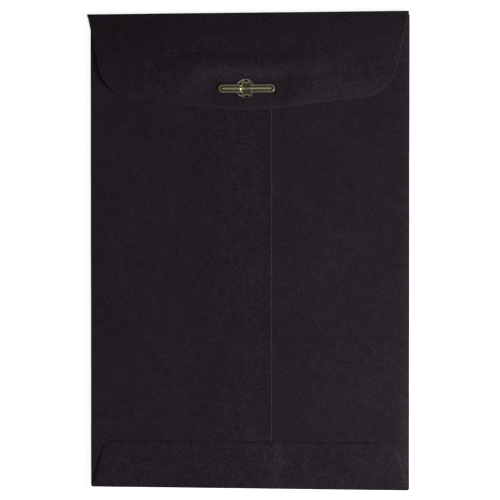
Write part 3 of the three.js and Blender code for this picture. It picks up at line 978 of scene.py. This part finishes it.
# %% Clasp base
BEVEL_WIDTH = 0.12
BASE_SPLITS = 3
BASE_SMOOTH = math.radians(50)  # edges flatter than this are shaded smooth
BASE_ROLL_RUN = 1.2 * ROLL_RUN
BASE_HALF = (base.right - base.left) / 2
BASE_END = (base.top - base.bottom) / 2
BAND_HALF = 2.28  # between the reliefs
NOTCH_R = 1.6
RELIEF_R = 0.75
RELIEF_Y = 2.5


def softened_copy(name, node, width):
    """Merges a copy of a node's mesh, bevels its sharp edges, and keeps the finished mesh."""
    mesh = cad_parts[node].data.copy()
    mesh.name = name
    mesh.materials.clear()
    piece = bpy.data.objects.new(name, mesh)
    bpy.context.collection.objects.link(piece)
    weld = piece.modifiers.new("weld", "WELD")
    weld.merge_threshold = 0.001 * MM
    bevel = piece.modifiers.new("bevel", "BEVEL")
    bevel.width = width * MM
    bevel.segments = 1
    bevel.limit_method = "ANGLE"
    bevel.angle_limit = SHARP
    split = piece.modifiers.new("split", "SUBSURF")
    split.subdivision_type = "SIMPLE"
    split.levels = split.render_levels = BASE_SPLITS
    graph = bpy.context.evaluated_depsgraph_get()
    finished = bpy.data.meshes.new_from_object(piece.evaluated_get(graph))
    piece.modifiers.clear()
    piece.data = finished
    finished.polygons.foreach_set("use_smooth", np.ones(len(finished.polygons), bool))
    finished.set_sharp_from_angle(angle=BASE_SMOOTH)
    print(name, len(finished.vertices), "points")
    return piece


def base_rim(x, y):
    """Distance from the base's nearest cut edge: an end, a side, a notch or a relief."""
    across, along = np.abs(x - CLASP_X), np.abs(y - CLASP_Y)
    side = np.where(along < RELIEF_Y, BAND_HALF, BASE_HALF) - across
    notch = np.hypot(across, along - BASE_END) - NOTCH_R
    relief = np.hypot(across - BASE_HALF, along - RELIEF_Y) - RELIEF_R
    return np.minimum(np.minimum(side, BASE_END - along), np.minimum(notch, relief))


def roll_rim(piece):
    """Lowers the upper face near its cut edges, and leaves the underside and the teeth as they are."""
    mesh = piece.data
    points = np.empty(3 * len(mesh.vertices), np.float32)
    mesh.vertices.foreach_get("co", points)
    x, y, z = points.reshape(-1, 3).T / MM
    upper = fade(z - base.over + BEAD_HEIGHT + METAL, METAL)
    points[2::3] -= MM * ROLL_DEPTH * upper * (1 - fade(base_rim(x, y), BASE_ROLL_RUN))
    mesh.vertices.foreach_set("co", points)
    mesh.update()


clasp_base = softened_copy("clasp_base_pressing", "clasp_base", BEVEL_WIDTH)
roll_rim(clasp_base)

# %% [markdown]
# The rims and the ridge of the bead are given a bright brass colour: partly wear, where brass stands proud,
# and partly a painted highlight. A mark holds that: 1 along the rims and on the ridge of the bead, 0 on the
# flats. It follows from the distance to the nearest cut edge.

# %% Polish and painted highlight marks
RIM_WIDTH = 0.22
BASE_RIM_WIDTH = 1.8 * RIM_WIDTH
BEAD_SHINE = 0.9  # a bead wears a little less than a rim
SHINE_HALF = 0.8 * BEAD_HALF
SHINE_RUN = 0.4
SHADED_ROOT_SHINE = 0.12  # painted shade: the left wing keeps only this share of its bright colour where it climbs out of the eyelet, facing the lamp


def wing_polish_and_highlight(x, y, z):
    """The larger of the rim's share, by distance to the edge, and the bead's, by distance to its line, less
    painted shade at the left wing's root.
    """
    along, across = np.abs(x - CLASP_X), y - CLASP_Y
    rim = 1 - fade(WING_HALF - from_wing_line(along, across), RIM_WIDTH)
    bead = (1 - fade(np.abs(across), SHINE_HALF)) * fade(WING_TIP - BEAD_TIP - along, SHINE_RUN)
    # Painted shade: the left wing's climb faces the lamp, so its bright colour is turned down there
    dull = np.where(x < CLASP_X, 1 - SHADED_ROOT_SHINE, 0)
    painted_light_mix = 1 - dull * (1 - fade(along - WING_ROOT - WING_RUN / 2, WING_RUN))
    return np.maximum(rim, BEAD_SHINE * bead) * painted_light_mix


def base_polish_and_highlight(x, y, z):
    """The larger of the rim's share and the bead's, both by distance."""
    rim = 1 - fade(base_rim(x, y), BASE_RIM_WIDTH)
    bead = 1 - fade(np.abs(y - CLASP_Y), BEAD_HALF)
    return np.maximum(rim, bead)


for piece, polish_and_highlight_at in ((left_wing, wing_polish_and_highlight), (right_wing, wing_polish_and_highlight), (clasp_base, base_polish_and_highlight)):
    mark_points(piece, "polish_and_highlight", polish_and_highlight_at)

# %% [markdown]
# ## Node helpers
# Materials are written as node trees. A few small helpers keep them readable: they add a node or a
# group and set or link its inputs by name.

# %% Node helpers
def feed(tree, socket, value):
    """Links an input to a source, or gives it a plain value."""
    if isinstance(value, bpy.types.NodeSocket):
        tree.links.new(value, socket)
    else:
        socket.default_value = value


def feed_named(tree, node, inputs):
    for name, value in inputs.items():
        feed(tree, node.inputs[name.replace("_", " ")], value)
    return node


def add_node(tree, kind, **inputs):
    """Adds a shader node; each keyword is a property of it, or the value or source of an input."""
    made = tree.nodes.new("ShaderNode" + kind)
    for name in [name for name in inputs if name.islower()]:
        setattr(made, name, inputs.pop(name))
    return feed_named(tree, made, inputs)


def calculate(tree, operation, first, second=0.0):
    """A Math node's result; either value may be a socket."""
    made = add_node(tree, "Math", operation=operation)
    feed(tree, made.inputs[0], first)
    feed(tree, made.inputs[1], second)
    return made.outputs[0]


def blend_colors(tree, share, first, second, mode="MIX"):
    """A Mix node's colour; share and colours may be sockets."""
    made = add_node(tree, "Mix", data_type="RGBA", blend_type=mode)
    for number, value in ((0, share), (6, first), (7, second)):
        feed(tree, made.inputs[number], value)
    return made.outputs[2]


def tint(tree, first, second):
    """Two colours multiplied."""
    return blend_colors(tree, 1.0, first, second, "MULTIPLY")


def spread(tree, source, low, high):
    """A value that goes from low to high as a source goes from 0 to 1."""
    return add_node(tree, "MapRange", Value=source, To_Min=low, To_Max=high).outputs[0]


def ramp(tree, source, low, high):
    """Stretches the range from low to high onto 0 to 1, and clamps it."""
    made = add_node(tree, "MapRange", clamp=True, Value=source, From_Min=low, From_Max=high)
    return made.outputs["Result"]


def new_group(name, inputs, outputs):
    """A shader node group with float or vector inputs and float outputs."""
    group = bpy.data.node_groups.new(name, "ShaderNodeTree")
    for label, value in inputs.items():
        kind = "NodeSocketVector" if value is None else "NodeSocketFloat"
        socket = group.interface.new_socket(name=label, in_out="INPUT", socket_type=kind)
        if value is not None:
            socket.default_value = value
    for label in outputs:
        group.interface.new_socket(name=label, in_out="OUTPUT", socket_type="NodeSocketFloat")
    return group, group.nodes.new("NodeGroupInput"), group.nodes.new("NodeGroupOutput")


def use_group(tree, group, **inputs):
    made = add_node(tree, "Group", node_tree=group)
    return feed_named(tree, made, inputs)


def stretched_noise(tree, place, stretch, turn=0, **inputs):
    """Noise drawn out along a line: stretch is below 1, and turn is the line's angle in degrees."""
    mapped = add_node(tree, "Mapping", Vector=place)
    mapped.inputs["Rotation"].default_value = (0, 0, math.radians(turn))
    mapped.inputs["Scale"].default_value = (stretch, 1, 1)
    return add_node(tree, "TexNoise", Vector=mapped.outputs[0], **inputs).outputs["Fac"]


# %% [markdown]
# ## The paper's fibres
# Dyed kraft looks even from far away, and mottled from near: pulp clumps of about a millimetre,
# single fibres about two millimetres long, a mottle a few millimetres wide, and clouds where the dye
# took better. Fibres lie in all directions, for which three turned layers stand. One group makes
# it all from Object coordinates, so that the pattern runs on across the folds.

# %% Fibre group
FIBRE_TURNS = (12, 74, 131)
FIBRE_STRETCH = 0.09  # the pattern's scale along a fibre, against that across it


def fibre_group():
    group, given, result = new_group(
        "Paper fibres",
        {"Vector": None, "Clump Size": 0.8, "Mottle Size": 4.5, "Cloud Size": 26.0, "Fibre Width": 0.16},
        ["Clump", "Mottle", "Cloud", "Fibre", "Height"],
    )
    place = given.outputs["Vector"]
    noise = {}
    for label, detail, roughness in (("Clump", 4.0, 0.72), ("Mottle", 2.0, 0.5), ("Cloud", 3.0, 0.5)):
        scale = calculate(group, "DIVIDE", 1 / MM, given.outputs[label + " Size"])
        made = add_node(group, "TexNoise", Vector=place, Scale=scale, Detail=detail, Roughness=roughness)
        noise[label] = made.outputs["Fac"]
    scale = calculate(group, "DIVIDE", 1 / MM, given.outputs["Fibre Width"])
    strands = 0.0
    for turn in FIBRE_TURNS:
        strand = stretched_noise(group, place, FIBRE_STRETCH, turn, Scale=scale, Detail=1.0)
        strands = calculate(group, "MAXIMUM", strands, ramp(group, strand, 0.62, 0.74))
    soft = calculate(group, "MULTIPLY", noise["Clump"], 0.7)
    raised = calculate(group, "MULTIPLY", strands, 0.3)
    for label, socket in (
        ("Clump", ramp(group, noise["Clump"], 0.38, 0.62)),
        ("Mottle", ramp(group, noise["Mottle"], 0.3, 0.7)),
        ("Cloud", ramp(group, noise["Cloud"], 0.3, 0.7)),
        ("Fibre", strands),
        ("Height", calculate(group, "ADD", soft, raised)),
    ):
        group.links.new(socket, result.inputs[label])
    return group


paper_fibres = fibre_group()
print("a group of", len(paper_fibres.nodes), "nodes for the fibres")

# %% [markdown]
# ## From patterns to a material
# Every finish here is one shader with a colour, a roughness and a bump, so one function starts a
# material and another one gives it its surface.

# %% Material helpers
def empty_material(name):
    material = bpy.data.materials.new(name)
    material.use_nodes = True
    material.node_tree.nodes.clear()
    return material, material.node_tree


def give_surface(tree, color, roughness, height, strength, depth, **constants):
    """Adds the shader and the output; the bump's depth is in millimetres."""
    bump = add_node(tree, "Bump", Strength=strength, Distance=depth * MM, Height=height)
    shader = add_node(
        tree,
        "BsdfPrincipled",
        Base_Color=color,
        Roughness=roughness,
        Normal=bump.outputs[0],
        **constants,
    )
    add_node(tree, "OutputMaterial", Surface=shader.outputs[0])


# %% [markdown]
# ## Black kraft
# The sheet is dyed through, a warm black with a hint of violet. It is matt, so nearly all of its
# look is colour and grain. Cut edges show torn pale fibre ends, which the mark named cut brings out.

# %% Black kraft
def black_kraft():
    material, tree = empty_material("black_kraft")
    place = add_node(tree, "TexCoord").outputs["Object"]
    fibres = use_group(tree, paper_fibres, Vector=place).outputs
    clumped = blend_colors(tree, fibres["Clump"], (0.0083, 0.0057, 0.0089, 1), (0.0278, 0.0194, 0.0294, 1))
    clouded = blend_colors(tree, fibres["Cloud"], (0.90, 0.90, 0.90, 1), (1.10, 1.09, 1.08, 1))
    mottled = blend_colors(tree, fibres["Mottle"], (0.84, 0.84, 0.84, 1), (1.16, 1.16, 1.16, 1))
    dyed = tint(tree, tint(tree, clumped, clouded), mottled)
    # Painted shade: where the mark is 1, the dyed colour is darkened to about 0.6 of itself
    painted_shade = add_node(tree, "Attribute", attribute_name="painted_shade").outputs["Fac"]
    painted_light_mix = blend_colors(tree, painted_shade, dyed, tint(tree, dyed, (0.62, 0.60, 0.62, 1)))
    strand_share = calculate(tree, "MULTIPLY", fibres["Fibre"], 0.30)
    stranded = blend_colors(tree, strand_share, painted_light_mix, (0.040, 0.034, 0.040, 1))
    cut = add_node(tree, "Attribute", attribute_name="cut").outputs["Fac"]
    ragged = calculate(tree, "MULTIPLY", cut, ramp(tree, fibres["Clump"], -0.6, 1.0))
    edged = blend_colors(tree, ragged, stranded, (0.030, 0.026, 0.029, 1))
    rough = spread(tree, fibres["Clump"], 0.92, 0.80)
    height = fibres["Height"]
    give_surface(tree, edged, rough, height, strength=1.0, depth=0.03, Specular_IOR_Level=0.12)
    return material


paper = black_kraft()
print(paper.name, "of", len(paper.node_tree.nodes), "nodes")

# %% [markdown]
# ## Films and fibre
# Seam glue and dry gum are the same kind of finish, a thin film that dries in streaks, so they
# share a group. The eyelet patch is hard vulcanised fibre: pale grey-brown and denser than paper.

# %% Film group and materials
def film_group():
    sizes = {"Vector": None, "Streak Size": 1.6}
    group, given, result = new_group("Dried film", sizes, ["Streak", "Height"])
    place = given.outputs["Vector"]
    scale = calculate(group, "DIVIDE", 1 / MM, given.outputs["Streak Size"])
    streak = stretched_noise(group, place, 0.25, Scale=scale, Detail=4.0)
    beads = add_node(group, "TexNoise", Vector=place, Scale=scale, Detail=2.0)
    group.links.new(ramp(group, streak, 0.35, 0.65), result.inputs["Streak"])
    group.links.new(beads.outputs["Fac"], result.inputs["Height"])
    return group


dried_film = film_group()


def film(name, thin, thick, roughness, streak_size):
    """A dried film: where it is thick it is paler and a little smoother."""
    material, tree = empty_material(name)
    place = add_node(tree, "TexCoord").outputs["Object"]
    streaks = use_group(tree, dried_film, Vector=place, Streak_Size=streak_size).outputs
    color = blend_colors(tree, streaks["Streak"], thin, thick)
    rough = spread(tree, streaks["Streak"], roughness + 0.15, roughness)
    height = streaks["Height"]
    give_surface(tree, color, rough, height, strength=0.5, depth=0.02, Specular_IOR_Level=0.1)
    return material


seam_glue = film("seam_glue", (0.06, 0.05, 0.04, 1), (0.13, 0.11, 0.08, 1), 0.5, 2.4)
dry_gum = film("dry_gum", (0.030, 0.025, 0.024, 1), (0.062, 0.053, 0.044, 1), 0.7, 1.8)


def fibre_patch():
    """Pale fibre, unevenly worn."""
    material, tree = empty_material("fibre_patch")
    place = add_node(tree, "TexCoord").outputs["Object"]
    fibres = use_group(tree, paper_fibres, Vector=place, Clump_Size=0.7, Cloud_Size=3.0).outputs
    pale = blend_colors(tree, fibres["Clump"], (0.44, 0.41, 0.36, 1), (0.78, 0.74, 0.67, 1))
    worn = blend_colors(tree, fibres["Cloud"], (0.55, 0.53, 0.50, 1), (1.15, 1.12, 1.1, 1))
    give_surface(tree, tint(tree, pale, worn), 0.7, fibres["Height"], strength=0.6, depth=0.02)
    return material


fibre = fibre_patch()
print("films and fibre:", seam_glue.name, dry_gum.name, fibre.name)

# %% [markdown]
# ## Antique brass
# The clasp is brass darkened to olive, with its bead and rims bright: partly rubbed wear, partly painted
# highlight. Flats keep the dark tarnish, and fine lengthwise scratches cross it.

# %% Antique brass
def antique_brass():
    material, tree = empty_material("antique_brass")
    place = add_node(tree, "TexCoord").outputs["Object"]
    blotches = add_node(tree, "TexNoise", Vector=place, Scale=1.4 / MM, Detail=4.0, Roughness=0.6)
    tarnish = blotches.outputs["Fac"]
    scratches = stretched_noise(tree, place, 0.08, Scale=12 / MM, Detail=2.0)
    polish_and_highlight = add_node(tree, "Attribute", attribute_name="polish_and_highlight").outputs["Fac"]
    uneven = ramp(tree, tarnish, 0.35, 0.65)
    dull = blend_colors(tree, uneven, (0.078, 0.068, 0.034, 1), (0.155, 0.136, 0.076, 1))
    scratched = ramp(tree, scratches, 0.3, 0.7)
    # Painted highlight and wear: the marked rims and bead take the bright brass colour and are smoother
    bright = blend_colors(tree, scratched, (0.80, 0.735, 0.50, 1), (0.97, 0.925, 0.69, 1))
    painted_light_mix = calculate(tree, "MULTIPLY", polish_and_highlight, ramp(tree, tarnish, 0.05, 0.6))
    color = blend_colors(tree, painted_light_mix, dull, bright)
    rough = spread(tree, painted_light_mix, 0.48, 0.26)
    height = calculate(tree, "ADD", scratches, tarnish)
    give_surface(tree, color, rough, height, strength=0.35, depth=0.01, Metallic=1.0)
    return material


brass = antique_brass()
print(brass.name, "of", len(brass.node_tree.nodes), "nodes")

# %% [markdown]
# ## Putting every piece on its body
# Each piece takes its material and stands for its CAD node, and all but the top fold ride on the body that
# carries it. The seal flap and its gum lie flat on the table once the flap is open. The two glue films stay
# as CAD nodes: they are exact already.

# %% Bodies, slots and replaced nodes
def dress(piece, material, node):
    piece.data.materials.clear()
    piece.data.materials.append(material)
    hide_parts(node)


for piece, node in (
    (front_panel, "front_panel"),
    (right_side_panel, "right_side_panel"),
    (left_side_panel, "left_side_panel"),
    (bottom_flap_sheet, "bottom_flap"),
    (cover_patch, "clasp_cover_patch"),
    (fold_pieces["right_fold"], "right_fold"),
    (fold_pieces["left_fold"], "left_fold"),
    (fold_pieces["bottom_fold"], "bottom_fold"),
):
    dress(piece, paper, node)
    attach(piece, "envelope")

dress(fold_pieces["top_fold"], paper, "top_fold")
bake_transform(fold_pieces["top_fold"])

dress(flap_sheet, paper, "seal_flap")
dress(flap_gum, dry_gum, "flap_gum")
dress(eyelet_ring, fibre, "eyelet_patch")
for piece in (flap_sheet, flap_gum, eyelet_ring):
    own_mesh(piece)
    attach(piece, "flap")

dress(clasp_base, brass, "clasp_base")
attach(clasp_base, "envelope")
dress(left_wing, brass, "left_wing")
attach(left_wing, "left_wing")
dress(right_wing, brass, "right_wing")
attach(right_wing, "right_wing")

for node in ("centre_seam_glue", "bottom_seam_glue"):
    for material_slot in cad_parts[node].material_slots:
        material_slot.material = seam_glue

# %% [markdown]
# ## Floor and world
# The photograph has a plain white ground and one low light from the lower right, which brings out
# the seam, the flap's edge and the grain. The world is white where it is seen and dim where it
# lights. Mirrored, it is dark overhead, as the camera and the ceiling are, and white lower down.
# The floor adds light of its own to what the camera and the brass see, so that it is just white and
# still holds the envelope's shadow. It lies a hair below the envelope, so that the two planes never
# mix, and from below it lets the eye through to the address side.

# %% Floor and world
FLOOR_SIZE = 6.0
FLOOR_GLOW = 0.83
FLOOR_GAP = 0.05
DARK_ABOVE, WHITE_BELOW = 0.97, 0.6  # heights on the sky's unit sphere
WHITE_SKY = 0.8


def white_floor():
    bpy.ops.mesh.primitive_plane_add(size=FLOOR_SIZE, location=(0, 0, -FLOOR_GAP * MM))
    floor = bpy.context.object
    floor.name = "floor"
    material, tree = empty_material("floor_white")
    matt = add_node(tree, "BsdfDiffuse", Color=(0.8, 0.8, 0.8, 1))
    rays = add_node(tree, "LightPath").outputs
    seen = calculate(tree, "MAXIMUM", rays["Is Camera Ray"], rays["Is Glossy Ray"])
    seen = calculate(tree, "MAXIMUM", seen, rays["Is Transmission Ray"])
    glow = add_node(tree, "Emission", Strength=calculate(tree, "MULTIPLY", seen, FLOOR_GLOW))
    both = add_node(tree, "AddShader")
    from_below = add_node(tree, "NewGeometry").outputs["Backfacing"]
    sided = add_node(tree, "MixShader", Fac=from_below)
    tree.links.new(matt.outputs[0], both.inputs[0])
    tree.links.new(glow.outputs[0], both.inputs[1])
    tree.links.new(both.outputs[0], sided.inputs[1])
    tree.links.new(add_node(tree, "BsdfTransparent").outputs[0], sided.inputs[2])
    add_node(tree, "OutputMaterial", Surface=sided.outputs[0])
    floor.data.materials.append(material)


def white_world(fill, overhead):
    """White to the eye. Mirrored, it is dark overhead, where the camera is, and white lower down."""
    world = bpy.data.worlds.new("studio")
    world.use_nodes = True
    bpy.context.scene.world = world
    tree = world.node_tree
    tree.nodes.clear()
    rays = add_node(tree, "LightPath").outputs
    way = add_node(tree, "SeparateXYZ", Vector=add_node(tree, "TexCoord").outputs["Generated"])
    low = add_node(
        tree,
        "MapRange",
        Value=way.outputs["Z"],
        From_Min=DARK_ABOVE,
        From_Max=WHITE_BELOW,
        To_Min=overhead,
        To_Max=WHITE_SKY,
    )
    lit = spread(tree, rays["Is Glossy Ray"], fill, low.outputs[0])
    seen = calculate(tree, "MAXIMUM", rays["Is Camera Ray"], rays["Is Transmission Ray"])
    light = add_node(tree, "Background", Color=(1, 1, 1, 1), Strength=spread(tree, seen, lit, 1.0))
    add_node(tree, "OutputWorld", Surface=light.outputs[0])


white_floor()
white_world(fill=0.176, overhead=0.08)
print("floor and world are white")

# %% [markdown]
# ## Lamp
# One disc stands low at the lower right, where the photograph's light comes from. At nine degrees it
# grazes the paper, and its size sets how soft the shadows of the edges are.

# %% Lamp
def soft_lamp(name, azimuth, elevation, distance, size, watts):
    """An area lamp that looks at the envelope's middle; azimuth 0 is +X, turning towards +Y."""
    light = bpy.data.lights.new(name, "AREA")
    light.shape = "DISK"
    light.size = size
    light.energy = watts
    lamp = bpy.data.objects.new(name, light)
    turn, rise = math.radians(azimuth), math.radians(elevation)
    lamp.location = (
        distance * math.cos(rise) * math.cos(turn),
        distance * math.cos(rise) * math.sin(turn),
        distance * math.sin(rise),
    )
    lamp.rotation_euler = (-lamp.location).to_track_quat("-Z", "Y").to_euler()
    bpy.context.collection.objects.link(lamp)
    print(name, "at", [round(value, 3) for value in lamp.location])


soft_lamp("key", azimuth=-22, elevation=9, distance=0.84, size=0.22, watts=22.5)

# %% [markdown]
# ## Camera
# The photograph looks almost straight down, through a long lens, from a few degrees towards the
# right side and a trace towards the top: the envelope is a little taller at its right edge and a little
# wider at its top. The distance follows from how much.

# %% Camera
CAMERA_YAW = math.radians(4)
CAMERA_PITCH = math.radians(0.6)
CAMERA_DISTANCE = 0.6707
CAMERA_AIM = (0.52 * MM, 0.45 * MM, 0)
camera_data = bpy.data.cameras.new("camera")
camera_data.lens = 100.5
camera = bpy.data.objects.new("camera", camera_data)
camera.location = (
    CAMERA_AIM[0] + CAMERA_DISTANCE * math.sin(CAMERA_YAW) * math.cos(CAMERA_PITCH),
    CAMERA_AIM[1] + CAMERA_DISTANCE * math.sin(CAMERA_PITCH),
    CAMERA_DISTANCE * math.cos(CAMERA_YAW) * math.cos(CAMERA_PITCH),
)
camera.rotation_euler = (-CAMERA_PITCH, CAMERA_YAW, 0)
bpy.context.collection.objects.link(camera)
bpy.context.scene.camera = camera
bpy.context.scene.view_settings.view_transform = "Standard"
